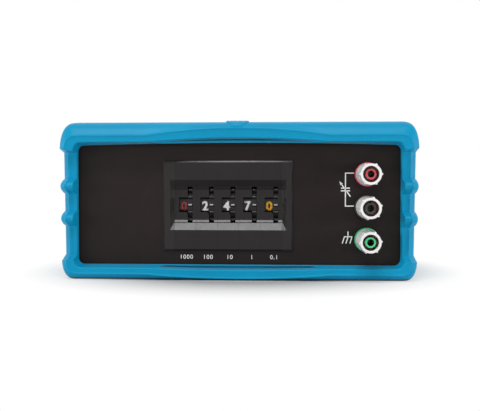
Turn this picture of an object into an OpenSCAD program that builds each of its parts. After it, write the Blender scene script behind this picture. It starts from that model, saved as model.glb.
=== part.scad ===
// Capacitance decade box: five thumbwheel decades, three screw terminals, a metal case and a rubber boot.
// Millimetres, +Z up, front towards -Y, origin at the centre of the boot's flat base.

/* [Boot] */
// Width over the corners
boot_w = 209; // [206:1:220]
// Height without the top lug
boot_h = 92; // [90:1:98]
// Depth from front rim to rear rim
boot_d = 130; // [120:1:160]
// How far the rim stands ahead of the case edge
rim_front = 8.5; // [7:0.5:11]
// How far the side walls lie inside the corners
relief_out = 1.1; // [0.8:0.1:3.2]
// How far the side walls lie behind the rim
relief_front = 5.5; // [3:0.5:6]
// Height of the chamfer under the upper corners
corner_step = 2.2; // [1.6:0.1:4]
// Height of the chamfer above the lower corners
foot_step = 3.6; // [1.6:0.1:5]
// How far each side slopes in from its upper corner to its lower one
foot_in = 0.9; // [0:0.1:1.5]
// Height of each side ridge along the wall
ridge_chord = 8.9; // [6:0.1:12]
// How proud a side ridge stands of the wall
ridge_rise = 1.1; // [0.6:0.1:2.4]
// Distance between the two side ridges
ridge_gap = 19; // [15:0.5:24]
// Height of the middle between the ridges
ridge_mid_z = 44.9; // [42:0.1:48]
// Half length of the scooped facets in the top and bottom bars
scoop_half = 53; // [40:1:75]
// Width of the roll on the top bar
roll_top = 17.6; // [12:0.1:20]
// Width of the roll on the bottom bar
roll_bottom = 8.3; // [6:0.1:10]
// Width of the roll on the sides
roll_side = 8; // [4:0.1:9]
// Rise of the opening's upper edge at its middle
opening_crown = 1.4; // [0:0.1:2]
// Thickness of the bead round the opening
bead_t = 1.4; // [1:0.1:2]
// Width of the top lug
lug_w = 13.5; // [10:0.5:18]
// Width of the bottom lug
lug_w_bottom = 9.5; // [7:0.5:14]
// How proud the lugs stand of the rolls
lug_rise = 0.8; // [0.4:0.1:1.2]

/* [Panel opening] */
// Visible panel width
open_w = 189; // [186:1:190]
// Visible panel height
open_h = 70; // [69:0.5:71]
// Height of the panel's centre
open_z = 43.4; // [42.8:0.1:44.5]
// Corner radius of the opening
open_r = 3.5; // [2.5:0.5:5]

/* [Case] */
// Wall of the case halves
case_wall = 1.6; // [1.2:0.1:2]
// Depth of the groove that holds each panel
groove_depth = 1.4; // [1:0.1:1.8]
// Thickness of the ribs that form a groove
groove_rib = 1.5; // [1:0.1:2]
// Thickness of both panels
panel_t = 2; // [1.5:0.1:2.5]
// Clearance of a panel in its groove
panel_fit = 0.15; // [0.05:0.05:0.25]
// Clearance between boot and case
boot_fit = 0.15; // [0.05:0.05:0.3]
// Radius of the screw pillars
pillar_r = 4.5; // [4:0.1:5]
// Inset of the pillars from the case's sides
pillar_in_x = 9.5; // [8:0.5:10]
// Inset of the pillars from the case's ends
pillar_in_y = 14; // [12:1:25]
// Radius of the case screws
case_screw_r = 1.5; // [1.2:0.1:2]
// Thread length of a case screw in the cover
case_screw_grip = 9; // [6:1:14]

/* [Thumbwheel bank] */
// Sideways place of the bank's centre
bank_x = -5.8; // [-12:0.1:0]
// Width of one switch module
pitch = 12.7; // [12.5:0.1:13.5]
// Height of the bank's front
bank_h = 53; // [50:0.5:56]
// How far the middle of the bank's front lies below the middle of the well
bank_drop = 0.5; // [0:0.1:1]
// Height of the switch bodies behind the panel
body_h = 44; // [43:0.5:46]
// Width of each end cap
cap_w = 6.5; // [5.5:0.1:8]
// Thickness of each end cap behind the panel
cap_plate = 3.2; // [2.8:0.1:4]
// How proud the bank's front stands of the panel
bank_proud = 1.2; // [0.8:0.1:2]
// Height of the well at its mouth
well_h_front = 29.6; // [27:0.1:32]
// Height of the well at its floor
well_h_back = 21.4; // [20:0.1:24]
// Widening of the well in each end cap
well_flare = 2.5; // [1.5:0.1:2.8]
// Depth of the well
well_depth = 3.6; // [3:0.1:6]
// Height of the sloped ledges at the ends of the well's floor
ledge_h = 1.3; // [1:0.1:2]
// How far the ledges stand out from the well's floor
ledge_d = 0.8; // [0.4:0.1:0.9]
// Chamfer round the bank's front
bank_chamfer = 0.9; // [0.3:0.1:1.2]
// Moulded wall thickness
mould_wall = 1.3; // [1:0.1:1.5]
// Gap between neighbouring modules
module_gap = 0.05; // [0.05:0.05:0.2]

/* [Thumbwheel] */
// Radius of the digit band
band_r = 13.3; // [12:0.1:14]
// Width of the digit band
band_w = 5.2; // [4.5:0.1:5.5]
// Radius at the tips of the finger teeth
tooth_tip_r = 15.6; // [14.6:0.1:16.2]
// Width of the toothed ring
tooth_w = 2.6; // [2:0.1:2.8]
// Number of teeth
tooth_count = 20; // [10:10:20]
// Radius of one tooth
tooth_r = 1.05; // [0.8:0.05:1.2]
// Gap between the digit band and the face behind it
band_gap = 0.3; // [0.2:0.05:0.6]
// Radius of the bearing boss
boss_r = 3; // [2.5:0.1:3.5]
// Running clearance of the wheel on its boss
bearing_fit = 0.05; // [0.02:0.01:0.08]
// Side clearance of a wheel
wheel_side_gap = 0.35; // [0.2:0.05:0.5]
// Height of the digit window
window_h = 8.7; // [8:0.1:10]
// Radius of the detent spring's nose
nose_r = 0.95; // [0.7:0.05:1.1]
// Thickness of the detent spring
spring_t = 0.35; // [0.2:0.05:0.5]
// Radius of a wiper
wiper_r = 9.8; // [9:0.1:10.5]

/* [Boards and parts] */
// Thickness of a contact board
board_t = 1.2; // [1:0.1:1.4]
// Length of a contact board
board_l = 68; // [62:1:72]
// Thickness of the largest capacitor
cap_thick = 9.2; // [7:0.1:9.4]
// Length of the largest capacitor
cap_len = 14; // [10:0.5:14.5]
// Height of the largest capacitor
cap_high = 17.5; // [12:0.5:18]
// Size step from one decade to the next
cap_step = 0.8; // [0.7:0.05:0.95]
// Radius of the bus bars
bus_r = 0.5; // [0.4:0.05:0.7]
// Radius of the tie rods
rod_r = 1.2; // [1:0.1:1.4]

/* [Terminals] */
// Sideways place of the terminals
term_x = 75.2; // [70:0.1:77]
// Distance between terminals
term_pitch = 19.05; // [18:0.05:20]
// Height of the middle terminal above the panel's centre
term_mid_z = -1.1; // [-2:0.1:2]
// Length of a knob
knob_len = 19; // [16:0.1:21]
// Radius of a knob at its rear
knob_r_back = 6.6; // [6.5:0.1:7.4]
// Radius of a knob at its front
knob_r_front = 5.9; // [5.6:0.1:6.6]
// Radius of the knob's front bore
knob_bore_r = 4.55; // [4.2:0.05:5]
// Number of grip ribs on a knob
knob_ribs = 6; // [4:1:8]
// Width of a grip rib at its root
knob_rib_w = 2; // [1.4:0.1:2.6]
// Width of a grip rib at its tip
knob_rib_tip = 0.7; // [0.4:0.1:1.2]
// Radius at the tips of the grip ribs
knob_rib_r = 6.6; // [6.2:0.1:6.9]
// Radius of the terminal's thread
thread_r = 3.3; // [3.1:0.1:3.6]
// Radius of the coloured ring round the socket
ring_r = 2.95; // [2.7:0.05:3.3]
// Radius of the 4 mm socket
socket_r = 2; // [1.9:0.05:2.1]
// Depth of the socket
socket_depth = 18; // [12:0.5:18.5]
// Radius of the rear stud
stud_r = 2.5; // [2.4:0.1:2.8]
// Thickness of the coloured base
base_t = 3; // [2:0.1:4]
// Radius of the coloured base
base_r = 7; // [6.6:0.1:7.6]
// Travel of a knob from closed to open
knob_travel = 5; // [3:0.5:6]
// Thickness of the pressure washer
washer_t = 1; // [0.8:0.1:1.5]
// Radius of the connecting leads
lead_r = 0.9; // [0.6:0.1:1.2]

/* [Hidden] */
$fn = 48;
far = 400;
decades = 5;
case_w = open_w + 2 * (case_wall + groove_depth);
case_h = open_h + 2 * (case_wall + groove_depth);
case_r = open_r + case_wall + groove_depth;
case_l = boot_d - 2 * rim_front;
inner_w = case_w - 2 * case_wall;
inner_h = case_h - 2 * case_wall;
inner_r = case_r - case_wall;
slot_y = groove_rib;
slot_len = panel_t + 2 * panel_fit;
room_in = slot_y + slot_len + groove_rib;
panel_y = -case_l / 2 + groove_rib + panel_fit;
pillar_x = case_w / 2 - pillar_in_x;
pillar_y = case_l / 2 - pillar_in_y;
case_floor = open_z - case_h / 2;
seam = 0.05;
screw_head_r = 1.9 * case_screw_r;
screw_head_h = 1.6 * case_screw_r;
head_sink = 0.6;
drill_past = 1.5;
head_seat = case_floor + screw_head_h + head_sink;

// Clearances: round a screw or rod, round a thread, and the overlap that joins two solids of one piece
hole_fit = 0.15;
thread_fit = 0.05;
joined = 0.2;

corner_x = open_w / 2 - open_r;
corner_zt = open_z + open_h / 2 - open_r;
corner_zb = open_z - open_h / 2 + open_r;
side_d = boot_w / 2 - corner_x;
top_d = boot_h - corner_zt;
base_trim = 0.5;
bottom_d = corner_zb + base_trim;
crease_angle = 32;
scoop_angle_top = 50;
scoop_angle_bottom = 54;
corner_square_x = 0.47;
corner_square_z = 0.95;
head_z = corner_zt + 1.5;
foot_z = corner_zb - 1.3;
seat_y = case_l / 2 + boot_fit;
bead_in = 0.1;
groove_in = 0.5;
lip_round = 1;
lip_in = 1.2;
lip_low = 0.3;
lip_cut_top = 2.4;
lip_cut_bottom = 1.2;
wall_least = 1.1;
roll_deep_top = 0.6 * roll_top;
roll_deep_bottom = 0.8 * roll_bottom;
roll_deep_side = 0.7 * roll_side;
lug_d = 9;
lug_d_bottom = 6;
lug_back = 7.2;
lug_back_bottom = 5.5;
lug_root = 5;

cut_fit = 0.3;
ledge_gap = 0.4;
hw = decades * pitch / 2;
face_y = well_depth - bank_proud;
plate_back = face_y + mould_wall;
axis_y = plate_back + band_gap + band_r;
chamber_gap = 0.8;
chamber_r = tooth_tip_r + chamber_gap;
body_back = axis_y + chamber_r + mould_wall;
wheel_a0 = mould_wall + wheel_side_gap;
detent_w = 0.9;
band_a0 = wheel_a0 + detent_w;
tooth_a0 = band_a0 + band_w;
wheel_a1 = tooth_a0 + tooth_w;
wiper_t = 0.3;
finger_h = 0.4;
board_a0 = wheel_a1 + wiper_t + finger_h + 0.1;
tooth_core_r = tooth_tip_r - 1.4 * tooth_r;
notch_r = nose_r + joined;
notch_at = band_r + 0.25;
window_fit = 0.15;
window_cut = 0.75;
nest_z = 13.5;
nest_in = 4;
nest_wall = 0.9;
nose_y = axis_y + notch_at;
rod_y = axis_y + 9.8;
rod_in = 2.2;
rod_nut_t = 2;
rod_z = body_h / 2 - mould_wall - rod_in;
board_y0 = plate_back + 0.8;
board_h = body_h - 2;
bus_y = board_y0 + board_l - 4;
bus_z = board_h / 2 - 6;
bus_x1 = hw + 4.5;
cap_gap = 0.8;
clamp_z = 13;
clamp_h = 8;
clamp_t = 1.5;
clamp_l = 10;
clamp_foot = 7;
clamp_screw_y = panel_t + 6;
clamp_screw_r = 1.2;
clamp_head_h = 1.6;

knob_turns = [0, 15, 5];
tag_t = 0.5;
tag_r = 4.4;
tag_reach = 12;
tag_eye = 10.4;
tag_w = 3;
lead_gap = 0.03;
bush_t = 2.5;
bush_r = 6;
nut_t = 3.5;
term_hole_r = 4.9;
washer_gap = 0.15;
washer_r = 5.6;
washer_s0 = base_t + washer_gap;
knob_s0 = washer_s0 + washer_t + washer_gap;
knob_s1 = knob_s0 + knob_len;
knob_bore_spare = 2;
knob_bore_l = knob_travel + knob_bore_spare;
ring_back = 1.4;
ring_s1 = knob_s1 - ring_back;
thread_s1 = ring_s1 - 2.5;
lip_s = 0.5;
spigot_r = socket_r + 0.6;
keyway_w = 1.2;
keyway_d = 0.5;
wire_hole_r = 0.9;
tag_s = -panel_t - bush_t - nut_t;
stud_s = tag_s - tag_t - nut_t - 1;
earth_x = 56;
earth_y = -15;

// Placing helpers: extrude a flat outline along X or Y, and make rods along X or Y
module along_y(y0, y1) {
  translate([0, y1, 0]) rotate([90, 0, 0]) linear_extrude(y1 - y0) children();
}

module along_x(x0, x1) {
  translate([x0, 0, 0]) rotate([90, 0, 90]) linear_extrude(x1 - x0) children();
}

module rod_along_x(x0, x1, r) {
  translate([x0, 0, 0]) rotate([0, 90, 0]) cylinder(r = r, h = x1 - x0);
}

module rod_along_y(y0, y1, r) {
  translate([0, y1, 0]) rotate([90, 0, 0]) cylinder(r = r, h = y1 - y0);
}

module block(x0, x1, y0, y1, z0, z1) {
  translate([x0, y0, z0]) cube([x1 - x0, y1 - y0, z1 - z0]);
}

function rounded(w, h, r, n = 6) = [
  for (c = [[1, 1, 0], [-1, 1, 90], [-1, -1, 180], [1, -1, 270]], k = [0 : n])
    [c[0] * (w / 2 - r) + r * cos(c[2] + 90 * k / n), c[1] * (h / 2 - r) + r * sin(c[2] + 90 * k / n)]
];

// Boot: one section swept round the case, fuller at the corners and ridges, scooped at top and bottom
function ramp(t) = min(1, max(0, t));

ridge_sphere = (pow(ridge_chord / 2, 2) + pow(ridge_rise, 2)) / (2 * ridge_rise);

function ridge(z, at) = abs(z - at) >= ridge_chord / 2 ? 0
  : (sqrt(pow(ridge_sphere, 2) - pow(z - at, 2)) - ridge_sphere + ridge_rise) / relief_out;

function fullness(z) = max(
  ridge(z, ridge_mid_z - ridge_gap / 2),
  ridge(z, ridge_mid_z + ridge_gap / 2),
  ramp(1 - (head_z - z) / corner_step),
  ramp(1 - (z - foot_z) / foot_step)
);

function taper(z) = foot_in * ramp((head_z - z) / (head_z - foot_z));

function ridge_stops(at) = [for (k = [0 : 10]) at - ridge_chord / 2 * cos(18 * k)];

side_stops = concat(
  [corner_zb, foot_z + foot_step],
  [(foot_z + foot_step + ridge_mid_z - ridge_gap / 2 - ridge_chord / 2) / 2],
  ridge_stops(ridge_mid_z - ridge_gap / 2),
  [ridge_mid_z],
  ridge_stops(ridge_mid_z + ridge_gap / 2),
  [(head_z - corner_step + ridge_mid_z + ridge_gap / 2 + ridge_chord / 2) / 2],
  [head_z - corner_step, corner_zt]
);
side_n = len(side_stops);
bar_n = 26;
arc_stops = [3, 5.5, 11, 22, 34, 46, 58, 70, 81];
arc_n = len(arc_stops);

function bar_x(k) = -corner_x + 2 * corner_x * k / bar_n;
function arc_w(a) = [pow(cos(a), corner_square_x), pow(sin(a), corner_square_z)];

// Each station: base point x and z, outward weights x and z, fullness, place along the scoop from 0 to 1,
// and the weights round the opening, whose corners are true arcs
function scoop(x) = abs(x) >= scoop_half ? 0 : 1 - pow(x / scoop_half, 2);

function bar_station(x, up) = [x, up > 0 ? corner_zt : corner_zb, 0, up, 1, scoop(x), 0, up];
function side_station(z, out) = [out * corner_x, z, out, 0, fullness(z), 0, out, 0];
function arc_station(k, out, up) =
  let (a = arc_stops[k], w = arc_w(a), z = up > 0 ? corner_zt : corner_zb)
  [out * corner_x, z, out * w[0], up * w[1], fullness(z + up * w[1] * (up > 0 ? top_d : bottom_d)), 0,
    out * cos(a), up * sin(a)];

stations = concat(
  [for (k = [0 : bar_n]) bar_station(bar_x(k), 1)],
  [for (k = [arc_n - 1 : -1 : 0]) arc_station(k, 1, 1)],
  [for (k = [side_n - 1 : -1 : 0]) side_station(side_stops[k], 1)],
  [for (k = [0 : arc_n - 1]) arc_station(k, 1, -1)],
  [for (k = [bar_n : -1 : 0]) bar_station(bar_x(k), -1)],
  [for (k = [arc_n - 1 : -1 : 0]) arc_station(k, -1, -1)],
  [for (k = [0 : side_n - 1]) side_station(side_stops[k], -1)],
  [for (k = [0 : arc_n - 1]) arc_station(k, -1, 1)]
);
roll_n = 5;

// Outward distances at a station for the side, top and bottom, and the depth, by the weights of one outline
outer = 2;
opening = 6;

function spread(s, outline, side, top, bottom, y) =
  let (wx = s[outline], wz = s[outline + 1])
  [s[0] + wx * side, -y, s[1] + wz * (wz > 0 ? top : bottom)];

// A lip stays inside its wall, and the roll beyond it takes no more than the wall has left
function lip_at(wanted, outer) = min(wanted, outer - lip_round - wall_least);
function roll_at(wanted, outer, lip, a) = min(wanted, (outer - lip - lip_round - 0.1) / (1 - sin(a)));

function ring_points(s) =
  let (
    up = s[3] > 0,
    rim = boot_d / 2 - relief_front * (1 - s[4]),
    side = side_d - relief_out * (1 - s[4]) - taper(s[1]),
    a0 = crease_angle + ((up ? scoop_angle_top : scoop_angle_bottom) - crease_angle) * s[5],
    roll_y = roll_deep_side * s[2] * s[2] + (up ? roll_deep_top : roll_deep_bottom) * (1 - s[2] * s[2]),
    face = rim - roll_y * (cos(crease_angle) - cos(a0)),
    crown = up ? opening_crown * (1 - pow(s[0] / corner_x, 2)) : 0,
    bead = open_r + crown,
    hold = case_r + boot_fit,
    groove = bead_in + groove_in * min(1, 3 * s[5]),
    bend = min(lip_round, face - seat_y - bead_t - groove_in - bead_in),
    lip_s = lip_at(open_r + lip_low + (lip_in - lip_low) * min(1, s[4]), side),
    lip_t = lip_at(open_r + lip_in + 0.2 + lip_cut_top * s[5], top_d),
    lip_b = lip_at(open_r + lip_in + lip_cut_bottom * s[5], bottom_d),
    roll_s = roll_at(roll_side, side, lip_s, a0),
    roll_t = roll_at(roll_top, top_d, lip_t, a0),
    roll_b = roll_at(roll_bottom, bottom_d, lip_b, a0)
  )
  concat(
    [spread(s, opening, hold, hold, hold, seat_y)],
    [spread(s, opening, open_r, bead, open_r, seat_y)],
    [spread(s, opening, open_r + bead_in, bead + bead_in, open_r + bead_in, seat_y + bead_t)],
    [spread(s, opening, open_r + groove, bead + groove, open_r + groove, seat_y + bead_t + groove_in)],
    [for (k = [0 : 2]) let (a = 45 * k, d = bend * (1 - cos(a)), y = face - bend * (1 - sin(a)))
      spread(s, opening, lip_s + d, lip_t + d, lip_b + d, y)],
    [for (k = [0 : roll_n]) let (a = a0 + (90 - a0) * k / roll_n, d = 1 - sin(a))
      spread(s, outer, side - roll_s * d, top_d - roll_t * d, bottom_d - roll_b * d,
        rim - roll_y * (cos(crease_angle) - cos(a)))]
  );

function mirrored(points) =
  [for (k = [len(points) - 1 : -1 : 0]) [points[k][0], -points[k][1], points[k][2]]];

module boot_sweep() {
  loops = [for (s = stations) let (front = ring_points(s)) concat(front, mirrored(front))];
  n = len(loops);
  m = len(loops[0]);
  points = [for (l = loops, p = l) p];
  faces = [for (i = [0 : n - 1], k = [0 : m - 1])
    let (j = (i + 1) % n, q = (k + 1) % m, a = i * m + k, b = i * m + q, c = j * m + k, d = j * m + q)
    each [[a, b, d], [a, d, c]]];
  polyhedron(points, faces);
}

// Lug: a lens outline that follows the roll of a bar, a little proud of it
module lens(w, d) {
  r = (pow(w / 2, 2) + pow(d / 2, 2)) / d;
  intersection() {
    translate([0, r - d / 2]) circle(r);
    translate([0, d / 2 - r]) circle(r);
  }
}

module lug(w, d, back, deep, high) {
  rim = boot_d / 2 - deep * cos(crease_angle);
  intersection() {
    translate([0, -boot_d / 2 + back, high - lug_root]) linear_extrude(lug_root + lug_rise) lens(w, d);
    translate([0, -rim, 0]) along_x(-w, w)
      polygon([for (k = [0 : 39]) [-(deep + lug_rise) * cos(9 * k), (high + lug_rise) * sin(9 * k)]]);
  }
}

module rubber_boot() {
  color([0.1, 0.55, 0.72]) difference() {
    union() {
      boot_sweep();
      translate([0, 0, boot_h - roll_top]) lug(lug_w, lug_d, lug_back, roll_deep_top, roll_top);
      translate([0, 0, roll_bottom - base_trim]) mirror([0, 0, 1])
        lug(lug_w_bottom, lug_d_bottom, lug_back_bottom, roll_deep_bottom, roll_bottom);
    }
    block(-far, far, -far, far, -far, 0);
  }
}

// Case: two metal half shells with a groove at each end for the panels
module tunnel(w, h, r, y0, y1) {
  translate([0, 0, open_z]) along_y(y0, y1) polygon(rounded(w, h, r));
}

module case_shell() {
  end = case_l / 2;
  difference() {
    tunnel(case_w, case_h, case_r, -end, end);
    tunnel(open_w, open_h, open_r, -far, far);
    for (m = [0, 1]) mirror([0, m, 0])
      tunnel(inner_w, inner_h, inner_r, -end + slot_y, -end + slot_y + slot_len);
    tunnel(inner_w, inner_h, inner_r, -end + room_in, end - room_in);
  }
}

module at_pillars() {
  for (x = [-pillar_x, pillar_x], y = [-pillar_y, pillar_y]) translate([x, y, 0]) children();
}

module case_base() {
  color([0.2, 0.2, 0.22]) difference() {
    union() {
      difference() {
        case_shell();
        block(-far, far, -far, far, open_z, far);
      }
      at_pillars() translate([0, 0, case_floor + joined])
        cylinder(r = pillar_r, h = open_z - case_floor - joined);
    }
    at_pillars() translate([0, 0, -far]) cylinder(r = case_screw_r + hole_fit, h = 2 * far);
    at_pillars() translate([0, 0, head_seat - far]) cylinder(r = screw_head_r + hole_fit, h = far);
    translate([earth_x, earth_y, 0]) cylinder(r = case_screw_r + thread_fit, h = open_z);
  }
}

module case_cover() {
  top = open_z + case_h / 2;
  color([0.2, 0.2, 0.22]) difference() {
    union() {
      difference() {
        case_shell();
        block(-far, far, -far, far, -far, open_z + seam);
      }
      at_pillars() translate([0, 0, open_z + seam])
        cylinder(r = pillar_r, h = top - open_z - seam - joined);
    }
    at_pillars() translate([0, 0, open_z - drill_past])
      cylinder(r = case_screw_r + thread_fit, h = case_screw_grip + 2 * drill_past);
  }
}

module case_screws() {
  color([0.7, 0.7, 0.7]) at_pillars() {
    translate([0, 0, head_seat - screw_head_h]) cylinder(r = screw_head_r, h = screw_head_h);
    translate([0, 0, head_seat - joined])
      cylinder(r = case_screw_r, h = open_z - head_seat + case_screw_grip);
  }
}

module panel_plate(y0) {
  w = inner_w - 2 * panel_fit;
  h = inner_h - 2 * panel_fit;
  tunnel(w, h, inner_r - panel_fit, y0, y0 + panel_t);
}

module front_panel() {
  cut_w = 2 * (hw + cap_plate + cut_fit);
  cut_h = body_h + 2 * cut_fit;
  color([0.1, 0.09, 0.09]) difference() {
    panel_plate(panel_y);
    at_bank() block(-cut_w / 2, cut_w / 2, -far, panel_t + joined, -cut_h / 2, cut_h / 2);
    at_terminals() rod_along_y(-far, panel_t + joined, term_hole_r);
  }
}

module rear_panel() {
  color([0.1, 0.09, 0.09]) panel_plate(-panel_y - panel_t);
}

// Thumbwheel bank: places are measured from its centre on the panel's front face
module at_bank() {
  translate([bank_x, panel_y, open_z]) children();
}

module at_module(i) {
  at_bank() translate([-hw + pitch * (i - 1), 0, 0]) children();
}

module front_profile() {
  deep = -bank_proud + 0.55 * bank_chamfer;
  top = bank_h / 2 - bank_drop;
  bottom = -bank_h / 2 - bank_drop;
  polygon([[-bank_proud, bottom + bank_chamfer], [deep, bottom], [0, bottom],
    [0, -body_h / 2], [body_back, -body_h / 2], [body_back, body_h / 2], [0, body_h / 2],
    [0, top], [deep, top], [-bank_proud, top - bank_chamfer]]);
}

function well_half(y) =
  well_h_front / 2 + (well_h_back - well_h_front) / 2 * (y + bank_proud) / (well_depth - ledge_d);

// Half of the well's outline, mirrored: its slope, a narrow groove, the ledge and the floor
module well_profile() {
  mouth = -bank_proud - 1;
  ledge_y = face_y - ledge_d;
  groove_y = face_y - ledge_d / 3;
  end = well_h_back / 2;
  half = [[mouth, well_half(mouth)], [ledge_y, end], [groove_y, end], [groove_y, end - ledge_gap],
    [ledge_y, end - ledge_gap], [face_y, end - ledge_gap - ledge_h]];
  polygon(concat([for (p = half) [p[0], -p[1]]], [for (k = [len(half) - 1 : -1 : 0]) half[k]]));
}

module chamber_profile() {
  back = body_back - mould_wall;
  top = body_h / 2 - mould_wall;
  near = mould_wall;
  roof = well_half(near) + 1.6;
  plate = well_h_back / 2 + mould_wall;
  polygon([[plate_back, -plate], [near, -roof], [near, -top], [back, -top],
    [back, top], [near, top], [near, roof], [plate_back, plate]]);
}

module window_profile() {
  x0 = band_a0 - window_fit;
  x1 = tooth_a0 - window_fit;
  x2 = wheel_a1 + window_fit;
  w = window_h / 2;
  s = well_h_back / 2 - thread_fit;
  polygon([[x0, -w], [x1 - window_cut, -w], [x1, -w - 2 * window_cut], [x1, -s], [x2, -s],
    [x2, s], [x1, s], [x1, w], [x0, w]]);
}

module housing(i) {
  g = module_gap / 2;
  nest_y = nose_y + nose_r;
  nest_a0 = mould_wall - joined;
  nest_z0 = -body_h / 2 + nest_in;
  color([0.16, 0.15, 0.16]) at_module(i) difference() {
    union() {
      difference() {
        along_x(g, pitch - g) front_profile();
        along_x(-1, pitch + 1) well_profile();
        along_x(mould_wall, pitch + 1) chamber_profile();
        block(board_a0, pitch + 1, board_y0 - joined, far, -far, far);
      }
      translate([0, axis_y, 0]) rod_along_x(nest_a0, wheel_a1 - 0.5, boss_r);
      block(nest_a0, band_a0, nest_y - nest_wall - thread_fit, nest_y - thread_fit, nest_z0, -nest_z);
      translate([0, spring_t + thread_fit, 0])
        block(nest_a0, band_a0, nest_y, nest_y + nest_wall, nest_z0, -nest_z);
    }
    along_y(face_y - ledge_d - thread_fit, plate_back + joined) window_profile();
    for (s = [-1, 1]) translate([0, rod_y, s * rod_z]) rod_along_x(-1, pitch + 1, rod_r + hole_fit);
  }
}

module switch_housing_1() { housing(1); }
module switch_housing_2() { housing(2); }
module switch_housing_3() { housing(3); }
module switch_housing_4() { housing(4); }
module switch_housing_5() { housing(5); }

module wheel_disc(a0, a1) {
  along_x(a0, a1) difference() {
    children();
    circle(boss_r + bearing_fit);
  }
}

module wheel(i) {
  rim_in = band_r - 1.4;
  hub_r = boss_r + 1.6;
  web_a0 = band_a0 + 3.2;
  web_a1 = web_a0 + 1.2;
  color([0.09, 0.09, 0.1]) at_module(i) translate([0, axis_y, 0]) {
    wheel_disc(wheel_a0, wheel_a1) circle(hub_r);
    wheel_disc(web_a0, web_a1) circle(band_r - 0.5);
    along_x(wheel_a0, band_a0) difference() {
      circle(band_r);
      circle(rim_in);
      for (k = [0 : 9]) rotate(k * 36) translate([notch_at, 0]) circle(notch_r);
    }
    along_x(band_a0, tooth_a0) difference() {
      circle(band_r);
      circle(rim_in);
    }
    along_x(tooth_a0, wheel_a1) difference() {
      union() {
        circle(tooth_core_r);
        for (k = [0 : tooth_count - 1])
          rotate(k * 360 / tooth_count) translate([-tooth_tip_r + tooth_r, 0]) circle(tooth_r);
      }
      circle(rim_in);
    }
  }
}

module thumbwheel_1() { wheel(1); }
module thumbwheel_2() { wheel(2); }
module thumbwheel_3() { wheel(3); }
module thumbwheel_4() { wheel(4); }
module thumbwheel_5() { wheel(5); }

module wiper(i) {
  slot_r = 2.2;
  finger_r = 0.7;
  color([0.8, 0.6, 0.3]) at_module(i) translate([0, axis_y, 0]) {
    difference() {
      rod_along_x(wheel_a1, wheel_a1 + wiper_t, wiper_r);
      rod_along_x(0, pitch, boss_r + 0.5);
      for (k = [0 : 2]) rotate([k * 120 + 60, 0, 0]) translate([0, slot_r + 0.4 - wiper_r, 0])
        rod_along_x(0, pitch, slot_r);
    }
    for (k = [0 : 2]) rotate([k * 120, 0, 0]) translate([0, 2 * finger_r - wiper_r, 0])
      rod_along_x(wheel_a1 + wiper_t - wiper_t / 3, wheel_a1 + wiper_t + finger_h, finger_r);
  }
}

module wiper_1() { wiper(1); }
module wiper_2() { wiper(2); }
module wiper_3() { wiper(3); }
module wiper_4() { wiper(4); }
module wiper_5() { wiper(5); }

// Detent spring: a strip held in the housing's nest, with a round nose in one of the wheel's ten notches
module detent_spring(i) {
  y = nose_y + nose_r;
  x0 = wheel_a0 + 0.05;
  x1 = band_a0 - 0.1;
  color([0.75, 0.75, 0.72]) at_module(i) {
    block(x0, x1, y, y + spring_t, -body_h / 2 + nest_in, nest_in);
    difference() {
      translate([0, nose_y, 0]) rod_along_x(x0, x1, nose_r);
      translate([0, nose_y + 0.3, 0]) rod_along_x(0, pitch, nose_r - 0.45);
    }
    block(x0, x1, y - 0.2, y + 0.1, -0.4, 0.4);
  }
}

module detent_spring_1() { detent_spring(1); }
module detent_spring_2() { detent_spring(2); }
module detent_spring_3() { detent_spring(3); }
module detent_spring_4() { detent_spring(4); }
module detent_spring_5() { detent_spring(5); }

module contact_boards() {
  color([0.1, 0.35, 0.2]) for (i = [1 : decades]) at_module(i) difference() {
    block(board_a0, board_a0 + board_t, board_y0, board_y0 + board_l, -board_h / 2, board_h / 2);
    for (s = [-1, 1]) {
      translate([0, rod_y, s * rod_z]) rod_along_x(0, pitch + 1, rod_r + hole_fit);
      translate([0, bus_y, s * bus_z]) rod_along_x(0, pitch + 1, bus_r + hole_fit / 2);
    }
  }
}

// Capacitors: four to a decade, smaller from one decade to the next
module capacitors(i) {
  k = pow(cap_step, i - 1);
  y0 = body_back + 2 * cap_gap;
  color([0.75, 0.45, 0.15]) at_module(i)
    for (row = [0, 1], s = [-1, 1])
      translate([board_a0 - cap_thick * k, y0 + row * (cap_len + cap_gap), s * (cap_high + cap_gap) / 2])
        translate([0, 0, -cap_high * k / 2]) cube([cap_thick * k, cap_len * k, cap_high * k]);
}

module capacitors_1() { capacitors(1); }
module capacitors_2() { capacitors(2); }
module capacitors_3() { capacitors(3); }
module capacitors_4() { capacitors(4); }
module capacitors_5() { capacitors(5); }

module bus_bars() {
  color([0.8, 0.8, 0.78]) at_bank()
    for (s = [-1, 1]) translate([0, bus_y, s * bus_z]) rod_along_x(-hw + board_a0 - 1, bus_x1, bus_r);
}

// End cap on the side given by the sign, with its share of the well's sloping wall
module end_cap(side) {
  mouth = -bank_proud - 1;
  out = hw + well_flare * (1 + 1 / well_depth);
  edge = hw + cap_w;
  plate = hw + cap_plate;
  inside = hw + module_gap / 2;
  color([0.2, 0.19, 0.2]) at_bank() difference() {
    mirror([side < 0 ? 1 : 0, 0, 0]) intersection() {
      along_x(inside, edge) front_profile();
      translate([0, 0, -bank_h]) linear_extrude(2 * bank_h)
        polygon([[inside, -bank_proud], [edge - bank_chamfer, -bank_proud], [edge, bank_chamfer - bank_proud],
          [edge, 0], [plate, 0], [plate, body_back], [inside, body_back]]);
    }
    intersection() {
      along_x(-far, far) well_profile();
      translate([0, 0, -far / 2]) linear_extrude(far)
        polygon([[-out, mouth], [out, mouth], [hw, face_y], [-hw, face_y]]);
    }
    for (s = [-1, 1]) {
      translate([0, rod_y, s * rod_z]) rod_along_x(-far, far, rod_r + hole_fit);
      translate([0, clamp_screw_y, s * clamp_z]) rod_along_x(-far, far, clamp_screw_r + thread_fit);
    }
  }
}

module end_cap_left() { end_cap(-1); }
module end_cap_right() { end_cap(1); }

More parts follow.
